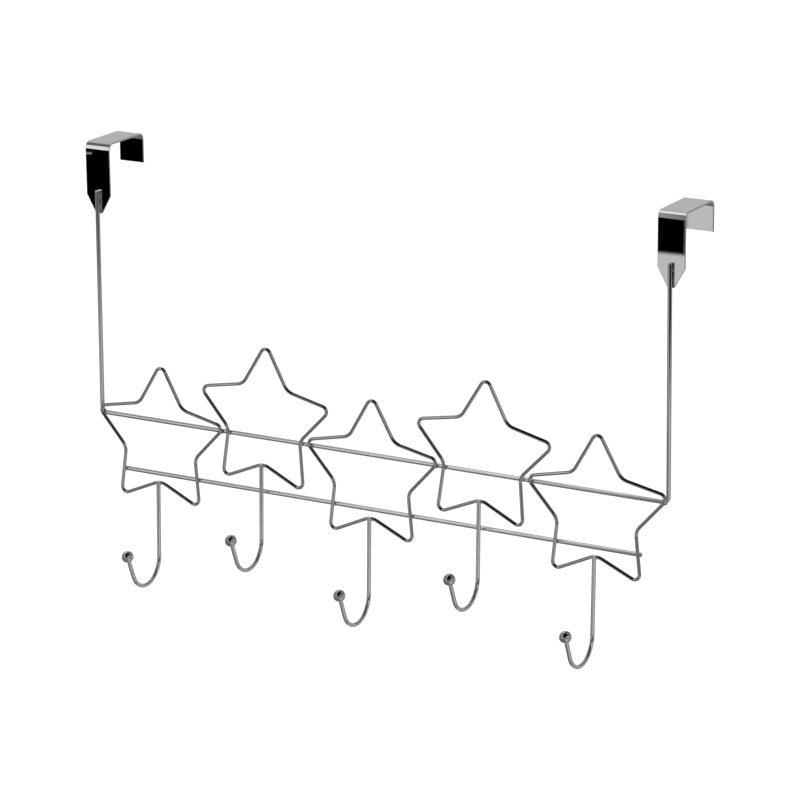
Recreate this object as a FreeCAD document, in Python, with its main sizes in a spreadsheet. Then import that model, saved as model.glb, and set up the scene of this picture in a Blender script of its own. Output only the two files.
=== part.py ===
import FreeCAD, Part

import math
import os

import Sketcher

# Over-door hook rack made of bent round wire and folded strip.
# Five star outlines stand side by side on two long wires, each star carries a hook below it,
# and two folded brackets hold the rack on the top edge of a door.
#
# Frame of the part: X runs along the door, -Y faces the room, +Z is up.
# The origin is the middle of the top front edge of the door that the rack hangs on.

os.makedirs("parts", exist_ok=True)
doc = FreeCAD.newDocument("OverDoorHooks")

# Sizes in millimetres and degrees
SIZES = {
    # folded brackets
    "strip_width": 20.0,
    "strip_thick": 1.2,
    "door_gap": 42.2,
    "fold_inside": 3.6,
    "plate_drop": 51.2,
    "taper_drop": 37.9,
    "tip_width": 5.0,
    "tip_round": 1.5,
    "tab_drop": 21.9,
    "edge_round": 0.25,
    # long wires
    "frame_wire": 3.2,
    "frame_bend": 4.0,
    "leg_past_star": 51.5,
    "leg_toe_in": 1.3,
    "leg_end_drop": 34.5,
    "upper_bar_drop": 196.7,
    "bar_spacing": 39.3,
    "bar_past_star": 32.7,
    "wire_end_round": 0.3,
    # the stars, the lower bar and the hooks stand a little out from the legs at their lower end
    "panel_lean": 1.7,
    # stars
    "star_wire": 2.5,
    "star_pitch": 87.0,
    "star_outer": 56.7,
    "star_inner": 30.8,
    "star_tip_bend": 3.9,
    "star_corner_bend": 10.0,
    "star_crotch_bend": 11.0,
    "star_below_bar": 13.2,
    "star_raise": 25.6,
    "lean_far_left": 0.8,
    "lean_left": 1.5,
    "lean_centre": 0.0,
    "lean_right": 1.9,
    "lean_far_right": -0.5,
    # hooks
    "hook_wire": 3.0,
    "hook_lap": 0.5,
    "hook_straight": 55.5,
    "hook_bend": 17.5,
    "hook_flare": 23.5,
    "hook_end": 18.3,
    "ball_size": 8.5,
    "ball_bore_depth": 2.8,
    "ball_fit": 0.02,
}

PLACES = ("far_left", "left", "centre", "right", "far_right")

# Lengths along the door, from the middle of the rack. The legs and the lower bar end a set way
# past the middles of the two outer stars, and the legs lean in a little towards their top.
LEG_LOW = "(star_pitch * 2 + leg_past_star)"
LEG_TOP = "(star_pitch * 2 + leg_past_star - leg_toe_in)"
BAR_HALF = "(star_pitch * 2 + bar_past_star)"

# Drops below the top of the door. The lower bar and the stars hang from the upper bar.
LOWER_BAR_DROP = "(upper_bar_drop + bar_spacing)"
STAR_DROP = "(upper_bar_drop + star_below_bar)"


def fill_sheet():
    """Writes each size into the spreadsheet under its own name."""
    sheet = doc.addObject("Spreadsheet::Sheet", "Sizes")
    for row, (name, value) in enumerate(SIZES.items(), start=1):
        sheet.set("A%d" % row, name)
        sheet.set("B%d" % row, str(value))
        sheet.setAlias("B%d" % row, name)
    doc.recompute()
    return sheet


fill_sheet()


def sized(formula):
    """Turns size names in a formula into references to the sheet."""
    out = []
    word = ""
    for char in formula + " ":
        if char.isalnum() or char == "_":
            word += char
            continue
        out.append("Sizes." + word if word in SIZES else word)
        word = ""
        out.append(char)
    return "".join(out).strip()


def value_of(formula):
    """Works out a formula with the sheet's present numbers."""
    probe = doc.getObject("Sizes")
    result = probe.evalExpression(sized(formula))
    return float(getattr(result, "Value", result))


def new_body(name):
    body = doc.addObject("PartDesign::Body", name)
    body.Label = name
    return body


def new_sketch(body, name, plane):
    """Adds a sketch on one of the body's own origin planes."""
    sketch = body.newObject("Sketcher::SketchObject", name)
    origin_plane = [f for f in body.Origin.OriginFeatures if f.Role == plane][0]
    sketch.AttachmentSupport = [(origin_plane, "")]
    sketch.MapMode = "FlatFace"
    return sketch


def bind(sketch, constraint, formula):
    """Adds a driving constraint and ties it to the sheet."""
    index = sketch.addConstraint(constraint)
    sketch.setExpression("Constraints[%d]" % index, sized(formula))
    return index


def pin(sketch, geo, pos, x_formula, y_formula):
    """Holds a sketch point at a place given by two formulas, measured from the sketch's origin."""
    for kind, axis, formula in (("DistanceX", -2, x_formula), ("DistanceY", -1, y_formula)):
        number = value_of(formula)
        if abs(number) < 1e-9:
            sketch.addConstraint(Sketcher.Constraint("PointOnObject", geo, pos, axis))
        elif number > 0:
            bind(sketch, Sketcher.Constraint(kind, -1, 1, geo, pos, number), formula)
        else:
            bind(sketch, Sketcher.Constraint(kind, geo, pos, -1, 1, -number), "-(%s)" % formula)


def unit(a, b):
    length = math.hypot(b[0] - a[0], b[1] - a[1])
    return ((b[0] - a[0]) / length, (b[1] - a[1]) / length)


def corner_arc(before, corner, after, radius):
    """Gives the arc that rounds a corner: centre, start point, end point and turning sense."""
    u = unit(corner, before)
    v = unit(corner, after)
    half = math.acos(max(-1.0, min(1.0, u[0] * v[0] + u[1] * v[1]))) / 2
    reach = radius / math.tan(half)
    bisector = unit((0, 0), (u[0] + v[0], u[1] + v[1]))
    away = radius / math.sin(half)
    centre = (corner[0] + bisector[0] * away, corner[1] + bisector[1] * away)
    start = (corner[0] + u[0] * reach, corner[1] + u[1] * reach)
    end = (corner[0] + v[0] * reach, corner[1] + v[1] * reach)
    left_turn = u[0] * v[1] - u[1] * v[0] < 0
    return centre, start, end, left_turn


def add_line(sketch, start, end):
    line = Part.LineSegment(FreeCAD.Vector(*start, 0), FreeCAD.Vector(*end, 0))
    return sketch.addGeometry(line, False)


def add_arc(sketch, centre, radius, start, end, left_turn):
    """Adds an arc run from start to end; returns its index and which of its ends comes first."""
    a = math.atan2(start[1] - centre[1], start[0] - centre[0])
    b = math.atan2(end[1] - centre[1], end[0] - centre[0])
    if not left_turn:
        a, b = b, a
    circle = Part.Circle(FreeCAD.Vector(centre[0], centre[1], 0), FreeCAD.Vector(0, 0, 1), radius)
    geo = sketch.addGeometry(Part.ArcOfCircle(circle, a, b if b > a else b + 2 * math.pi), False)
    return geo, (1, 2) if left_turn else (2, 1)


def bent_run(sketch, corners, mirror_ends=False, closed=False):
    """Draws straight lines joined by round bends.

    Each corner is (x formula, y formula, bend radius formula or None). With mirror_ends the first
    and last corners lie on the vertical axis and only the half of their bend on this side is drawn.
    """
    count = len(corners)
    spots = [(value_of(x), value_of(y)) for x, y, _ in corners]
    radii = [None if r is None else value_of(r) for _, _, r in corners]
    arcs = {}
    for i in range(count):
        if radii[i] is None:
            continue
        if mirror_ends and i == 0:
            before, after = (-spots[1][0], spots[1][1]), spots[1]
        elif mirror_ends and i == count - 1:
            before, after = spots[-2], (-spots[-2][0], spots[-2][1])
        else:
            before, after = spots[i - 1], spots[(i + 1) % count]
        arcs[i] = corner_arc(before, spots[i], after, radii[i])

    pieces = []
    lines = {}
    legs = count if closed else count - 1
    for i in range(count):
        if i in arcs:
            centre, start, end, left_turn = arcs[i]
            if mirror_ends and i in (0, count - 1):
                rise = radii[i] if spots[i][1] > centre[1] else -radii[i]
                middle = (0.0, centre[1] + rise)
                start, end = (middle, end) if i == 0 else (start, middle)
            geo, ends = add_arc(sketch, centre, radii[i], start, end, left_turn)
            pieces.append((geo, ends, "arc", i))
        if i < legs:
            j = (i + 1) % count
            a = arcs[i][2] if i in arcs else spots[i]
            b = arcs[j][1] if j in arcs else spots[j]
            geo = add_line(sketch, a, b)
            lines[i] = geo
            pieces.append((geo, (1, 2), "line", i))

    joins = list(zip(pieces, pieces[1:]))
    if closed:
        joins.append((pieces[-1], pieces[0]))
    for one, two in joins:
        kind = "Coincident" if one[2] == two[2] == "line" else "Tangent"
        sketch.addConstraint(Sketcher.Constraint(kind, one[0], one[1][1], two[0], two[1][0]))

    first_of_radius = {}
    for geo, ends, kind, i in pieces:
        if kind != "arc":
            continue
        formula = corners[i][2]
        if formula in first_of_radius:
            sketch.addConstraint(Sketcher.Constraint("Equal", first_of_radius[formula], geo))
        else:
            first_of_radius[formula] = geo
            bind(sketch, Sketcher.Constraint("Radius", geo, radii[i]), formula)
        if mirror_ends and i in (0, count - 1):
            sketch.addConstraint(Sketcher.Constraint("PointOnObject", geo, 3, -2))
            sketch.addConstraint(Sketcher.Constraint("PointOnObject", geo, ends[0 if i == 0 else 1], -2))

    for i, (x, y, _) in enumerate(corners):
        touching = []
        if i in lines:
            touching.append((lines[i], 1))
        before = (i - 1) % count
        if before in lines and (closed or i > 0):
            touching.append((lines[before], 2))
        if i not in arcs:
            pin(sketch, touching[0][0], touching[0][1], x, y)
            continue
        point = sketch.addGeometry(Part.Point(FreeCAD.Vector(*spots[i], 0)), True)
        for line, _ in touching:
            sketch.addConstraint(Sketcher.Constraint("PointOnObject", point, 1, line))
        pin(sketch, point, 1, x, y)


def round_section(body, name, plane, wire, x_formula, y_formula):
    """Draws the round section of a wire of the named size."""
    sketch = new_sketch(body, name, plane)
    spot = FreeCAD.Vector(value_of(x_formula), value_of(y_formula), 0)
    circle = sketch.addGeometry(Part.Circle(spot, FreeCAD.Vector(0, 0, 1), value_of(wire) / 2), False)
    bind(sketch, Sketcher.Constraint("Diameter", circle, value_of(wire)), wire)
    pin(sketch, circle, 3, x_formula, y_formula)
    return sketch


def sweep(body, section, spine):
    pipe = body.newObject("PartDesign::AdditivePipe", "Bent")
    pipe.Profile = section
    pipe.Spine = spine
    body.Tip = pipe
    section.Visibility = False
    spine.Visibility = False
    return pipe


def mirror_half(body, half):
    """Adds the other half of a wire that is the same on both sides of its middle."""
    other = body.newObject("PartDesign::Mirrored", "OtherHalf")
    other.Originals = [half]
    plane = [f for f in body.Origin.OriginFeatures if f.Role == "YZ_Plane"][0]
    other.MirrorPlane = (plane, [""])
    body.Tip = other
    return other


# Layers, from the door outwards: strip, frame and bar wire, star wire, hook wire.
# Each wire lies against the one behind it, where it is welded.
FRAME_Y = "-strip_thick - frame_wire / 2"
STAR_OUT = "frame_wire / 2 + star_wire / 2"
HOOK_OUT = "frame_wire / 2 + star_wire + hook_wire / 2"


def place(body, x="0", y="0", z="0"):
    """Ties the body's place to the sheet."""
    for letter, formula in zip("xyz", (x, y, z)):
        body.setExpression(".Placement.Base." + letter, sized("(%s) * 1mm" % formula))


def place_on_panel(body, x="0", out="0", drop="0", axis="0; 1; 0", angle="0"):
    """Places a piece of the leaning panel, which turns about the middle line of the upper bar.

    The piece lies the given way out from the bars and the given drop below the door's top.
    """
    lean = "rotation(vector(1; 0; 0); -panel_lean)"
    hinge = "placement(vector(0; %s; -upper_bar_drop); %s)" % (FRAME_Y, lean)
    spot = "vector(%s; -(%s); upper_bar_drop - (%s))" % (x, out, drop)
    own = "placement(%s; rotation(vector(%s); %s))" % (spot, axis, angle)
    body.setExpression("Placement", sized(hinge + " * " + own))


def picked_edges(feature, wanted):
    """Names the edges of a feature that a test picks."""
    edges = enumerate(feature.Shape.Edges, start=1)
    return ["Edge%d" % index for index, edge in edges if wanted(edge)]


def runs_through(edge):
    """True for a short edge that goes straight through the strip's thickness."""
    return edge.Length < value_of("strip_thick") * 1.001


def crosses(edge):
    """True for an edge that runs from one side of the strip to the other."""
    ends = [vertex.Point.x for vertex in edge.Vertexes]
    return len(ends) == 2 and ends[0] * ends[1] < 0 and abs(abs(ends[0]) - abs(ends[1])) < 1e-6


def is_low(edge, height):
    return all(abs(vertex.Point.z - height) < 1e-4 for vertex in edge.Vertexes)


def deburr(body, feature, wanted):
    """Rounds the rims of a wire's cut ends, of those rims that a test picks."""
    ends = body.newObject("PartDesign::Fillet", "DeburredEnds")
    rims = picked_edges(feature, lambda edge: edge.isClosed() and wanted(edge))
    ends.Base = (feature, rims)
    ends.setExpression("Radius", sized("wire_end_round"))
    body.Tip = ends
    return ends


def make_bracket(name, side):
    """Strip folded over the door: front plate with a pointed end, top, and short back tab."""
    body = new_body(name)
    fold = new_sketch(body, "FoldedStrip", "YZ_Plane")
    outer = "fold_inside + strip_thick"
    bent_run(fold, [
        ("-strip_thick", "strip_thick - plate_drop", None),
        ("-strip_thick", "strip_thick", outer),
        ("door_gap + strip_thick", "strip_thick", outer),
        ("door_gap + strip_thick", "strip_thick - tab_drop", None),
        ("door_gap", "strip_thick - tab_drop", None),
        ("door_gap", "0", "fold_inside"),
        ("0", "0", "fold_inside"),
        ("0", "strip_thick - plate_drop", None),
    ], closed=True)
    pad = body.newObject("PartDesign::Pad", "Strip")
    pad.Profile = fold
    pad.Midplane = True
    pad.setExpression("Length", sized("strip_width"))
    body.Tip = pad

    cut = new_sketch(body, "PointedEnd", "XZ_Plane")
    for sign in ("", "-"):
        bent_run(cut, [
            (sign + "(strip_width / 2)", "strip_thick - taper_drop", None),
            (sign + "(tip_width / 2)", "strip_thick - plate_drop", None),
            (sign + "(tip_width / 2)", "-plate_drop", None),
            (sign + "(strip_width / 2 + strip_thick)", "-plate_drop", None),
            (sign + "(strip_width / 2 + strip_thick)", "strip_thick - taper_drop", None),
        ], closed=True)
    pocket = body.newObject("PartDesign::Pocket", "TrimmedCorners")
    pocket.Profile = cut
    pocket.Midplane = True
    pocket.setExpression("Length", sized("strip_thick * 4"))
    body.Tip = pocket
    doc.recompute()

    low = value_of("strip_thick - plate_drop")
    end = body.newObject("PartDesign::Fillet", "RoundedTip")
    end.Base = (pocket, picked_edges(pocket, lambda edge: runs_through(edge) and is_low(edge, low)))
    end.setExpression("Radius", sized("tip_round"))
    body.Tip = end
    doc.recompute()

    soft = body.newObject("PartDesign::Fillet", "SoftEdges")
    soft.Base = (end, picked_edges(end, lambda edge: not runs_through(edge) and not crosses(edge)))
    soft.setExpression("Radius", sized("edge_round"))
    body.Tip = soft
    doc.recompute()
    place(body, x=LEG_TOP if side > 0 else "-" + LEG_TOP)
    return body


def make_frame():
    """One wire bent to a wide U: two legs welded to the brackets, and the upper bar between them."""
    body = new_body("hanging_frame")
    spine = new_sketch(body, "HalfRun", "XZ_Plane")
    bent_run(spine, [
        ("0", "-upper_bar_drop", None),
        (LEG_LOW, "-upper_bar_drop", "frame_bend"),
        (LEG_TOP, "strip_thick - leg_end_drop", None),
    ])
    section = round_section(body, "WireSection", "YZ_Plane", "frame_wire", "0", "-upper_bar_drop")
    whole = mirror_half(body, sweep(body, section, spine))
    doc.recompute()
    top = value_of("strip_thick - leg_end_drop")
    deburr(body, whole, lambda edge: edge.CenterOfMass.z > top - 0.1)
    place(body, y=FRAME_Y)
    return body


def make_lower_bar():
    """Straight wire behind the legs of the low stars."""
    body = new_body("lower_bar")
    section = round_section(body, "WireSection", "YZ_Plane", "frame_wire", "0", "0")
    pad = body.newObject("PartDesign::Pad", "Wire")
    pad.Profile = section
    pad.Midplane = True
    pad.setExpression("Length", sized(BAR_HALF + " * 2"))
    body.Tip = pad
    doc.recompute()
    deburr(body, pad, lambda edge: True)
    place_on_panel(body, drop=LOWER_BAR_DROP)
    return body


def star_corner(step):
    """Place of a star's sharp corner: even steps are points, odd steps are inner corners."""
    reach = "star_outer" if step % 2 == 0 else "star_inner"
    return "%s * sin(%ddeg)" % (reach, 36 * step), "%s * cos(%ddeg)" % (reach, 36 * step)


def make_star(place_name, column, raised):
    """Five-pointed outline of one bent wire, its ends butt-welded at the bottom corner."""
    body = new_body("star_" + place_name)
    spine = new_sketch(body, "HalfOutline", "XZ_Plane")
    corners = []
    for step in range(6):
        x, z = star_corner(step)
        bend = "star_tip_bend" if step % 2 == 0 else "star_corner_bend"
        corners.append(("0" if step in (0, 5) else x, z, "star_crotch_bend" if step == 5 else bend))
    bent_run(spine, corners, mirror_ends=True)
    run = "(star_outer - star_inner * cos(36deg))"
    half_point = "atan(star_inner * sin(36deg) / %s)" % run
    apex = "star_outer - star_tip_bend * (1 / sin(%s) - 1)" % half_point
    section = round_section(body, "WireSection", "YZ_Plane", "star_wire", "0", apex)
    mirror_half(body, sweep(body, section, spine))
    drop = STAR_DROP + (" - star_raise" if raised else "")
    place_on_panel(body, "star_pitch * %d" % column, STAR_OUT, drop, angle="lean_" + place_name)
    return body


def hook_base(place_name, column, raised):
    """Top end of a hook: a little above the bottom corner of its star."""
    lean = "lean_%s * 1deg" % place_name
    x = "star_pitch * %d - star_inner * sin(%s)" % (column, lean)
    drop = STAR_DROP + " + star_inner * cos(%s) - hook_lap" % lean
    return x, HOOK_OUT, drop + (" - star_raise" if raised else "")


def make_hook(place_name, column, raised):
    """J-shaped wire: straight stem, round bend towards the room, short flared end for the ball."""
    body = new_body("hook_" + place_name)
    spine = new_sketch(body, "HookRun", "YZ_Plane")
    straight = value_of("hook_straight")
    bend = value_of("hook_bend")
    flare = math.radians(value_of("hook_flare"))
    reach = value_of("hook_end - ball_size / 2 + ball_bore_depth")
    last = (-bend - bend * math.cos(flare), -straight - bend * math.sin(flare))
    end = (last[0] - reach * math.sin(flare), last[1] + reach * math.cos(flare))
    stem = add_line(spine, (0, 0), (0, -straight))
    arc, ends = add_arc(spine, (-bend, -straight), bend, (0, -straight), last, False)
    tail = add_line(spine, last, end)
    spine.addConstraint(Sketcher.Constraint("Coincident", stem, 1, -1, 1))
    spine.addConstraint(Sketcher.Constraint("Vertical", stem))
    spine.addConstraint(Sketcher.Constraint("Tangent", stem, 2, arc, ends[0]))
    spine.addConstraint(Sketcher.Constraint("Tangent", arc, ends[1], tail, 1))
    bind(spine, Sketcher.Constraint("DistanceY", stem, 2, stem, 1, straight), "hook_straight")
    bind(spine, Sketcher.Constraint("Radius", arc, bend), "hook_bend")
    bind(spine, Sketcher.Constraint("Distance", tail, reach), "hook_end - ball_size / 2 + ball_bore_depth")
    drop = "hook_straight + hook_bend * sin(hook_flare * 1deg)"
    bind(spine, Sketcher.Constraint("DistanceY", tail, 1, -1, 1, value_of(drop)), drop)
    section = round_section(body, "WireSection", "XY_Plane", "hook_wire", "0", "0")
    bent = sweep(body, section, spine)
    doc.recompute()
    deburr(body, bent, lambda edge: abs(edge.CenterOfMass.z) < 1e-3)
    place_on_panel(body, *hook_base(place_name, column, raised))
    return body


def make_ball(place_name, column, raised):
    """Ball on the end of a hook, bored a little way to take the wire."""
    body = new_body("ball_" + place_name)
    half = new_sketch(body, "HalfBall", "XZ_Plane")
    ball = value_of("ball_size / 2")
    bore = value_of("hook_wire / 2 + ball_fit")
    floor = value_of("ball_bore_depth - ball_size / 2")
    lip = -math.sqrt(ball * ball - bore * bore)
    arc, ends = add_arc(half, (0, 0), ball, (bore, lip), (0, ball), True)
    wall = add_line(half, (bore, floor), (bore, lip))
    base = add_line(half, (0, floor), (bore, floor))
    axis = add_line(half, (0, ball), (0, floor))
    half.addConstraint(Sketcher.Constraint("Coincident", arc, 3, -1, 1))
    half.addConstraint(Sketcher.Constraint("Coincident", wall, 2, arc, ends[0]))
    half.addConstraint(Sketcher.Constraint("Coincident", arc, ends[1], axis, 1))
    half.addConstraint(Sketcher.Constraint("Coincident", axis, 2, base, 1))
    half.addConstraint(Sketcher.Constraint("Coincident", base, 2, wall, 1))
    half.addConstraint(Sketcher.Constraint("PointOnObject", axis, 1, -2))
    half.addConstraint(Sketcher.Constraint("PointOnObject", axis, 2, -2))
    half.addConstraint(Sketcher.Constraint("Horizontal", base))
    half.addConstraint(Sketcher.Constraint("Vertical", wall))
    bind(half, Sketcher.Constraint("Radius", arc, ball), "ball_size / 2")
    bind(half, Sketcher.Constraint("DistanceX", base, 1, base, 2, bore), "hook_wire / 2 + ball_fit")
    bind(half, Sketcher.Constraint("DistanceY", base, 1, -1, 1, -floor), "ball_size / 2 - ball_bore_depth")
    turned = body.newObject("PartDesign::Revolution", "TurnedBall")
    turned.Profile = half
    turned.ReferenceAxis = (half, ["V_Axis"])
    turned.Angle = 360
    body.Tip = turned
    x, out, drop = hook_base(place_name, column, raised)
    flare = "hook_flare * 1deg"
    out += " + hook_bend + hook_bend * cos(%s) + hook_end * sin(%s)" % (flare, flare)
    drop += " + hook_straight + hook_bend * sin(%s) - hook_end * cos(%s)" % (flare, flare)
    place_on_panel(body, x, out, drop, axis="1; 0; 0", angle="hook_flare")
    return body


def make_all():
    bodies = [make_bracket("bracket_left", -1), make_bracket("bracket_right", 1)]
    bodies += [make_frame(), make_lower_bar()]
    for index, place_name in enumerate(PLACES):
        column = index - 2
        raised = index in (1, 3)
        bodies.append(make_star(place_name, column, raised))
        bodies.append(make_hook(place_name, column, raised))
        bodies.append(make_ball(place_name, column, raised))
    return bodies


bodies = make_all()
doc.recompute()

for item in doc.Objects:
    if "Invalid" in item.State or "Error" in item.State:
        raise RuntimeError("%s did not build: %s" % (item.Label, item.State))
for body in bodies:
    shape = body.Shape
    if shape.isNull() or not shape.isValid() or len(shape.Solids) != 1:
        raise RuntimeError("%s is not one valid solid" % body.Label)
    shape.exportStep("parts/%s.step" % body.Label)
    print("%-16s volume %9.1f mm3" % (body.Label, shape.Volume))
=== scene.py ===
import math

import bmesh
import bpy
from mathutils import Matrix, Vector, noise


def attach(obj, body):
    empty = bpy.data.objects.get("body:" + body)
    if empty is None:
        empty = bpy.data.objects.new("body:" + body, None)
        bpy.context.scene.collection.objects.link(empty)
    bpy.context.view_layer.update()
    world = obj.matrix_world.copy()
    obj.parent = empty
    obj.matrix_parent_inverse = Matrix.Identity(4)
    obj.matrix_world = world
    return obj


# Looks of the over-door hook rack: chromed strip, wire and balls in a pale photo studio.
# Frame of the part: X runs along the door, -Y faces the room and +Z is up, all in metres.

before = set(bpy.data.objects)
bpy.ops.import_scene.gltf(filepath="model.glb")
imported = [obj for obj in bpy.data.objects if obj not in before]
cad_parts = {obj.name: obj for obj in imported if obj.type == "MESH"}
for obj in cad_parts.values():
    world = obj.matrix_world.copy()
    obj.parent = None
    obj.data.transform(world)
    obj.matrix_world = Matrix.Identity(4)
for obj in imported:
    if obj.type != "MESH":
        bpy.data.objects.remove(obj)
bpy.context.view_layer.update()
PLACES = ("far_left", "left", "centre", "right", "far_right")
RAISED = ("left", "right")


def put_in_scene(name, data):
    """A new object in the scene for a mesh, lamp or camera."""
    item = bpy.data.objects.new(name, data)
    bpy.context.scene.collection.objects.link(item)
    return item


# Materials

class Nodes:
    """Short ways to add and join shader nodes."""

    def __init__(self, tree):
        self.tree = tree
        self.tree.nodes.clear()

    def add(self, kind, inputs=(), **settings):
        node = self.tree.nodes.new(kind)
        for name, value in settings.items():
            setattr(node, name, value)
        for name, value in dict(inputs).items():
            self.feed(node.inputs[name], value)
        return node

    def feed(self, socket, value):
        if isinstance(value, bpy.types.NodeSocket):
            self.tree.links.new(value, socket)
        else:
            socket.default_value = value

    def math(self, operation, a, b):
        return self.add("ShaderNodeMath", {0: a, 1: b}, operation=operation).outputs[0]

    def remap(self, value, source, target=(0.0, 1.0)):
        """Carries one range over to another in a straight line, and holds it at its ends."""
        ends = dict(zip(("From Min", "From Max", "To Min", "To Max"), source + target))
        return self.add("ShaderNodeMapRange", {"Value": value, **ends}).outputs["Result"]

    def step(self, value, edge, soft):
        """Rises smoothly from 0 to 1 across an edge."""
        ends = {"From Min": edge - soft / 2, "From Max": edge + soft / 2}
        node = self.add("ShaderNodeMapRange", {"Value": value, **ends},
                        interpolation_type="SMOOTHSTEP")
        return node.outputs["Result"]

    def show(self, kind, shader):
        """Ends the tree: what the material or the world looks like."""
        self.add(kind, {"Surface": shader.outputs[0]})


def new_material(name):
    material = bpy.data.materials.new(name)
    material.use_nodes = True
    return material, Nodes(material.node_tree)


# Faint marks in the plating: clouds about a centimetre across, and finer streaks from buffing.
CLOUDS = {"Scale": 90.0, "Detail": 3.0}
BUFFING = {"Scale": 400.0, "Detail": 2.0}
CLOUD_SHARE, BUFFING_SHARE = 0.6, 0.4
NOISE_RANGE = (0.3, 0.7)
SHADE = (0.96, 1.0)
RELIEF = {"Strength": 0.02, "Distance": 0.00002}


def chrome(name, tint, polish, grain):
    """Plated steel: bright and mirror-like, with faint buffing marks and slightly uneven gloss.

    polish is the lowest and highest roughness, and grain the stretch of the buffing marks along
    X, Y and Z.
    """
    material, n = new_material(name)
    place = n.add("ShaderNodeTexCoord").outputs["Object"]
    clouds = n.add("ShaderNodeTexNoise", {"Vector": place, **CLOUDS}).outputs[0]
    stretched = n.add("ShaderNodeMapping", {"Vector": place, "Scale": grain}).outputs[0]
    buffing = n.add("ShaderNodeTexNoise", {"Vector": stretched, **BUFFING}).outputs[0]

    mixed = n.math("ADD", n.math("MULTIPLY", clouds, CLOUD_SHARE),
                   n.math("MULTIPLY", buffing, BUFFING_SHARE))
    gloss = n.remap(mixed, NOISE_RANGE, polish)
    shade = n.remap(clouds, NOISE_RANGE, SHADE)
    colour = n.add("ShaderNodeVectorMath", {0: tint, "Scale": shade}, operation="SCALE")
    relief = n.add("ShaderNodeBump", {"Height": clouds, **RELIEF})
    n.show("ShaderNodeOutputMaterial", n.add("ShaderNodeBsdfPrincipled", {
        "Base Color": colour.outputs[0], "Metallic": 1.0, "Roughness": gloss,
        "Normal": relief.outputs[0]}))
    return material


strip_chrome = chrome("chromed_strip", (0.86, 0.87, 0.88), (0.002, 0.010), (1.0, 1.0, 6.0))
bar_chrome = chrome("chromed_bar_wire", (0.87, 0.88, 0.88), (0.04, 0.10), (0.2, 3.0, 1.0))
# The star wire's tint is darker than the rest of the chrome: painted shade, a shaded copy of the
# same plating.
star_chrome_with_painted_shade = chrome("chromed_star_wire", (0.70, 0.71, 0.71), (0.03, 0.08), (1.0, 3.0, 1.0))
# The hook wire's tint is lighter than the rest of the chrome: painted light, a lit copy of the
# same plating.
hook_chrome_with_painted_light = chrome("chromed_hook_wire", (0.95, 0.96, 0.96), (0.04, 0.10), (3.0, 3.0, 0.2))
ball_chrome = chrome("chromed_ball", (0.80, 0.81, 0.82), (0.03, 0.07), (1.0, 1.0, 1.0))
# The welds' tint is darkened far below the plating's: painted shade standing for the shade between
# the joined wires.
weld_chrome_with_painted_shade = chrome("chromed_weld_with_painted_shade", (0.42, 0.43, 0.44), (0.10, 0.25), (1.0, 1.0, 1.0))

FINISH = {"bracket": strip_chrome, "hanging": bar_chrome, "lower": bar_chrome,
          "star": star_chrome_with_painted_shade, "hook": hook_chrome_with_painted_light, "ball": ball_chrome}


def dress_cad_nodes():
    """Gives each carried-over node the finish that goes with the first word of its name."""
    for name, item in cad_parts.items():
        for slot in item.material_slots:
            slot.material = FINISH[name.split("_")[0]]


dress_cad_nodes()


# Welds
#
# The panel of bars, stars and hooks leans out a little below the upper bar. A place on it is given
# in millimetres by how far it lies along the door, how far out from the middle of the bars, and
# how high above the middle of the upper bar.

BAR_Y, BAR_Z = -2.8, -196.7
PANEL_LEAN = math.radians(1.7)
LOWER_BAR = -39.3
ON_BARS, ON_STARS = 1.6, 4.1

STAR_PITCH = 87.0
STAR_POINT, STAR_CORNER = 56.7, 30.8
STAR_LEANS = dict(zip(PLACES, (0.8, 1.5, 0.0, 1.9, -0.5)))
STAR_RISE = {place: 12.4 if place in RAISED else -13.2 for place in PLACES}
# Points and inner corners of a star by their angle from its top point
SIDE_POINT, LOW_POINT, SIDE_CORNER, BOTTOM_CORNER = 72, 144, 108, 180
BELOW_CORNER = 1.1

# The legs lie on the front plates and spread a little towards the upper bar.
LEG_X, LEG_SPREAD, LEG_TOP, PLATE_Y = 224.2, 1.3, 33.3, -1.3
PLATE_BEAD_DROPS = (37.5, 44.0)

# Reach of the beads along X, Y and Z in millimetres
RAISED_STAR_BEAD = (1.8, 0.9, 1.7)
UPPER_BAR_BEAD = (1.9, 0.9, 1.7)
LOWER_BAR_BEAD = (1.7, 0.9, 1.7)
HOOK_BEAD = (1.9, 0.9, 1.6)
PLATE_BEAD = (2.0, 0.8, 2.2)
LUMPS_ACROSS, LUMP_HEIGHT = 1.6, 0.16
SEED_STEP = (3.7, 1.3, 0)


def on_panel(x, out, height):
    """Place on the leaning panel, in metres."""
    cos, sin = math.cos(PANEL_LEAN), math.sin(PANEL_LEAN)
    y = BAR_Y - out * cos + height * sin
    z = BAR_Z + out * sin + height * cos
    return Vector((x, y, z)) / 1000


def star_spot(place, reach, turn):
    """Place in the plane of a star, from its distance to the middle and its angle from the top."""
    angle = math.radians(turn + STAR_LEANS[place])
    middle = STAR_PITCH * (PLACES.index(place) - 2)
    return middle + reach * math.sin(angle), STAR_RISE[place] + reach * math.cos(angle)


def crossing(place, point_turn, corner_turn, height):
    """Where the arm between a point and an inner corner of a star crosses a bar at that height."""
    x0, z0 = star_spot(place, STAR_POINT, point_turn)
    x1, z1 = star_spot(place, STAR_CORNER, corner_turn)
    return x0 + (x1 - x0) * (height - z0) / (z1 - z0)


def add_bead(mesh, spot, size, seed):
    """Adds one small lumpy bead of melted metal; size is its reach along X, Y and Z."""
    start = Vector(seed * step for step in SEED_STEP)
    for vertex in bmesh.ops.create_icosphere(mesh, subdivisions=4, radius=1.0)["verts"]:
        lump = noise.noise(vertex.co * LUMPS_ACROSS + start)
        swell = 1.0 + LUMP_HEIGHT * lump
        vertex.co = spot + Vector(s * c for s, c in zip(size, vertex.co)) * swell / 1000


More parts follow.
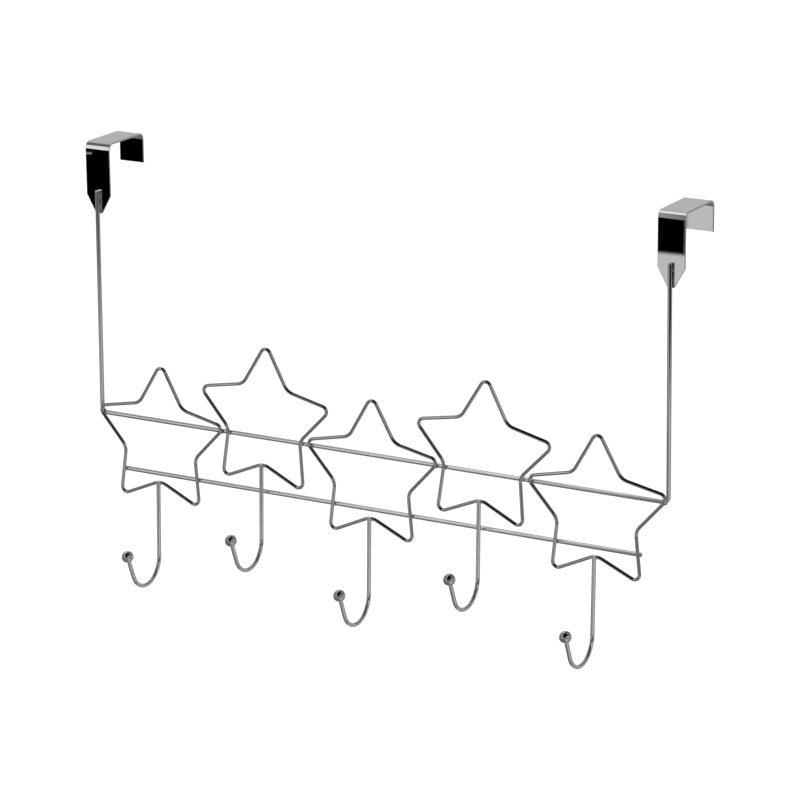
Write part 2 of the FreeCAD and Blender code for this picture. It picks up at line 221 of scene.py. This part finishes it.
def weld_piece(name, beads):
    """One object for the beads that join a piece, each given as (place, size)."""
    mesh = bmesh.new()
    for number, (spot, size) in enumerate(beads):
        add_bead(mesh, spot, size, number + len(name))
    for face in mesh.faces:
        face.smooth = True
    data = bpy.data.meshes.new(name)
    mesh.to_mesh(data)
    mesh.free()
    data.materials.append(weld_chrome_with_painted_shade)
    piece = put_in_scene(name, data)
    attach(piece, "root")


def weld_star(place):
    """Beads where a star lies on the bars, and where its hook is joined to its bottom corner."""
    beads = []
    for side in (1, -1):
        corner = SIDE_CORNER * side
        if place in RAISED:
            upper = crossing(place, LOW_POINT * side, corner, 0.0)
            beads.append((on_panel(upper, ON_BARS, 0.0), RAISED_STAR_BEAD))
            continue
        upper = crossing(place, SIDE_POINT * side, corner, 0.0)
        lower = crossing(place, LOW_POINT * side, corner, LOWER_BAR)
        beads.append((on_panel(upper, ON_BARS, 0.0), UPPER_BAR_BEAD))
        beads.append((on_panel(lower, ON_BARS, LOWER_BAR), LOWER_BAR_BEAD))
    weld_piece("welds_star_" + place, beads)
    x, height = star_spot(place, STAR_CORNER + BELOW_CORNER, BOTTOM_CORNER)
    bead = (on_panel(x, ON_STARS, height), HOOK_BEAD)
    weld_piece("weld_hook_" + place, [bead])


def weld_bracket(name, side):
    """Two beads down the line where a leg's top lies on the front plate."""
    beads = []
    for drop in PLATE_BEAD_DROPS:
        spread = LEG_SPREAD * (drop - LEG_TOP) / (-BAR_Z - LEG_TOP)
        beads.append((Vector((side * (LEG_X + spread), PLATE_Y, -drop)) / 1000, PLATE_BEAD))
    weld_piece("welds_bracket_" + name, beads)


for place in PLACES:
    weld_star(place)
weld_bracket("left", -1)
weld_bracket("right", 1)


# Studio

FLOOR_SIZE, FLOOR_PLACE = 60, (0, 10, -2.0)
FLOOR_GREY, FLOOR_LIFT = (0.8, 0.8, 0.8, 1), 0.3
WHITE, BLACK = (1, 1, 1, 1), (0, 0, 0, 1)


def white_floor():
    """Large pale floor, as far below the rack as a room's floor is below the top of a door."""
    bpy.ops.mesh.primitive_plane_add(size=FLOOR_SIZE, location=FLOOR_PLACE)
    floor = bpy.context.object
    floor.name = "floor"
    material, n = new_material("pale_floor")
    seen = n.add("ShaderNodeLightPath").outputs["Is Camera Ray"]
    matt = n.add("ShaderNodeBsdfDiffuse", {"Color": FLOOR_GREY})
    lift = n.add("ShaderNodeEmission", {
        "Color": WHITE, "Strength": n.math("MULTIPLY", seen, FLOOR_LIFT)})
    both = n.add("ShaderNodeAddShader", {0: matt.outputs[0], 1: lift.outputs[0]})
    n.show("ShaderNodeOutputMaterial", both)
    floor.data.materials.append(material)
    floor.visible_glossy = False


# Soft-edged panels round the rack: name, brightness, softness of the edges, and the range along
# X, Y and Z as parts of a unit direction. Where two lie over each other, the later one is seen.
ANY, FRONT, BEHIND = (None, None), (None, 0.0), (0.1, None)
SURROUND = (
    ("wall behind", 0.39, 0.25, ANY, BEHIND, (None, 0.20)),
    ("ceiling behind", 0.20, 0.44, ANY, BEHIND, (0.22, None)),
    ("pale wall behind on the left", 0.49, 0.32, (None, -0.12), BEHIND, (-0.09, None)),
    ("floor behind on the right", 0.30, 0.18, (0.0, None), BEHIND, (None, -0.18)),
    ("dark floor behind on the left", 0.0, 0.03, (None, -0.51), BEHIND, (None, -0.35)),
    ("floor in front", 0.17, 0.03, ANY, FRONT, (None, -0.11)),
    ("floor in front on the right", 0.50, 0.03, (0.41, None), FRONT, (None, -0.26)),
    ("dark floor in front on the left", 0.13, 0.09, (-0.64, -0.20), FRONT, (-0.70, -0.53)),
    ("soft lamp in front on the right", 0.86, 0.50, (0.46, None), (None, 0.1), (0.11, 0.48)),
    ("wall in front on the far left", 0.19, 0.16, (None, -0.565), (None, 0.1), (-0.17, 0.85)),
    ("tall window in front on the left", 0.64, 0.06, (-0.596, -0.417), FRONT, (-0.274, 0.90)),
    ("bright foot of the window", 0.92, 0.03, (-0.60, -0.486), FRONT, (-0.28, -0.212)),
    ("bright pane of the window", 0.84, 0.012, (-0.60, -0.543), FRONT, (-0.09, 0.50)),
    ("dark beam over the window", 0.13, 0.06, (-0.63, -0.49), (-0.56, 0.08), (0.58, None)),
    ("lamp over the middle", 0.93, 0.04, (-0.46, -0.36), (-0.42, 0.12), (0.78, None)),
    ("dark wall in front", 0.0, 0.03, (-0.209, 0.026), ANY, (-0.028, None)),
    ("low lamp in front", 0.65, 0.03, (-0.15, 0.283), FRONT, (-0.20, 0.033)),
    ("bright line along the floor", 1.30, 0.03, (-0.378, -0.005), FRONT, (-0.281, -0.278)),
    ("dark stand in front on the right", 0.0, 0.11, (0.287, 0.70), FRONT, (-0.082, 0.171)),
    ("dark head of the stand", 0.0, 0.08, (0.275, 0.532), FRONT, (0.226, 0.451)),
    ("dark foot of the stand", 0.0, 0.03, (0.375, 0.80), FRONT, (-0.264, -0.202)),
    ("pale strip beside the screen", 0.57, 0.012, (-0.425, -0.398), FRONT, (-0.262, -0.215)),
    ("dark screen in front on the left", 0.0, 0.0014, (-0.62, -0.45), FRONT, (-0.2438, -0.17)),
    ("glint on the screen", 0.45, 0.0004, (-0.5560, -0.5531), FRONT, (-0.21602, -0.21572)),
)

# The right end of the dark screen stands a little askew, so its ranges lie along X and Z leaning
# to each other.
SCREEN_LEAN = 0.105
SCREEN_END = ("end of the dark screen", 0.0, 0.0014, (-0.51, -0.4341), FRONT, (-0.2874, -0.215))


def lay_panel(n, axes, level, panel):
    """Brightness once a panel is laid over what lay there before."""
    _, strength, soft, *ranges = panel
    mask = 1.0
    for axis, (low, high) in zip(axes, ranges):
        if low is not None:
            mask = n.math("MULTIPLY", mask, n.step(axis, low, soft))
        if high is not None:
            mask = n.math("MULTIPLY", mask, n.math("SUBTRACT", 1.0, n.step(axis, high, soft)))
    return n.add("ShaderNodeMix", {0: mask, 2: level, 3: strength}).outputs[0]


def studio_world():
    """Even white light, a white background, and a room of pale and dark panels for the metal."""
    world = bpy.data.worlds.new("studio")
    bpy.context.scene.world = world
    world.use_nodes = True
    n = Nodes(world.node_tree)
    direction = n.add("ShaderNodeTexCoord").outputs["Generated"]
    x, y, z = n.add("ShaderNodeSeparateXYZ", {0: direction}).outputs
    level = 0.0
    for panel in SURROUND:
        level = lay_panel(n, (x, y, z), level, panel)
    askew_x = n.math("ADD", x, n.math("MULTIPLY", z, SCREEN_LEAN))
    askew_z = n.math("ADD", z, n.math("MULTIPLY", x, SCREEN_LEAN))
    level = lay_panel(n, (askew_x, y, askew_z), level, SCREEN_END)
    glossy = n.add("ShaderNodeLightPath").outputs["Is Glossy Ray"]
    strength = n.add("ShaderNodeMix", {0: glossy, 2: 1.0, 3: level}).outputs[0]
    n.show("ShaderNodeOutputWorld", n.add("ShaderNodeBackground", {
        "Color": WHITE, "Strength": strength}))


# Black card beside the right leg, as a photographer sets one up to draw a dark line down a bright
# wire. It fades out over this range of heights.
CARD_PLACE, CARD_TURN = (0.379, -0.188, -0.140), math.radians(39.9)
CARD_WIDTH, CARD_HEIGHT = 0.36, 0.13
CARD_FADE = (-0.205, -0.140)


def black_card():
    """Upright card that only glossy rays see."""
    x, z = CARD_WIDTH / 2, CARD_HEIGHT / 2
    data = bpy.data.meshes.new("black_card")
    data.from_pydata([(-x, 0, -z), (x, 0, -z), (x, 0, z), (-x, 0, z)], [], [(0, 1, 2, 3)])
    card = put_in_scene("black_card", data)
    card.location = CARD_PLACE
    card.rotation_euler = (0, 0, CARD_TURN)
    material, n = new_material("black_card")
    place = n.add("ShaderNodeNewGeometry").outputs["Position"]
    height = n.add("ShaderNodeSeparateXYZ", {0: place}).outputs["Z"]
    clear = n.add("ShaderNodeBsdfTransparent")
    black = n.add("ShaderNodeBsdfDiffuse", {"Color": BLACK})
    n.show("ShaderNodeOutputMaterial", n.add("ShaderNodeMixShader", {
        0: n.remap(height, CARD_FADE), 1: clear.outputs[0], 2: black.outputs[0]}))
    data.materials.append(material)
    card.visible_camera = card.visible_diffuse = False
    card.visible_shadow = card.visible_transmission = False


LAMP_PLACE, LAMP_AIM = Vector((-1.6, -2.0, 1.6)), Vector((0, 0, -0.15))
LAMP_SIZE, LAMP_POWER = (1.4, 1.4), 12


def soft_lamp():
    """Large lamp high up on the left, in front of the rack. The metal doesn't show it."""
    data = bpy.data.lights.new("key_lamp", "AREA")
    data.shape = "RECTANGLE"
    data.size, data.size_y = LAMP_SIZE
    data.energy = LAMP_POWER
    lamp = put_in_scene("key_lamp", data)
    lamp.location = LAMP_PLACE
    lamp.rotation_mode = "QUATERNION"
    lamp.rotation_quaternion = (LAMP_AIM - LAMP_PLACE).to_track_quat("-Z", "Y")
    lamp.visible_glossy = False


white_floor()
studio_world()
black_card()
soft_lamp()


# Camera

CAMERA_PLACE = Vector((1.20063, -2.08122, 0.55124))
YAW, PITCH, ROLL = math.radians(29.57), math.radians(16.44), math.radians(-0.45)
SENSOR_WIDTH = 36.0
FOCAL_LENGTH_PIXELS, IMAGE_PIXELS = 3629.3, 800
CLIP_START, CLIP_END = 0.05, 200


def place_camera():
    """Where the photograph was taken from: right of the rack and above it, looking down on it."""
    level = math.cos(PITCH)
    look = Vector((-math.sin(YAW) * level, math.cos(YAW) * level, -math.sin(PITCH)))
    level_right = Vector((math.cos(YAW), math.sin(YAW), 0))
    level_up = level_right.cross(look)
    right = level_right * math.cos(ROLL) + level_up * math.sin(ROLL)
    up = level_up * math.cos(ROLL) - level_right * math.sin(ROLL)
    data = bpy.data.cameras.new("photo_camera")
    data.sensor_width = SENSOR_WIDTH
    data.lens = SENSOR_WIDTH * FOCAL_LENGTH_PIXELS / IMAGE_PIXELS
    data.clip_start, data.clip_end = CLIP_START, CLIP_END
    camera = put_in_scene("photo_camera", data)
    turn = Matrix((right, up, -look)).transposed()
    camera.matrix_world = Matrix.Translation(CAMERA_PLACE) @ turn.to_4x4()
    bpy.context.scene.camera = camera


place_camera()
bpy.context.scene.view_settings.view_transform = "Standard"
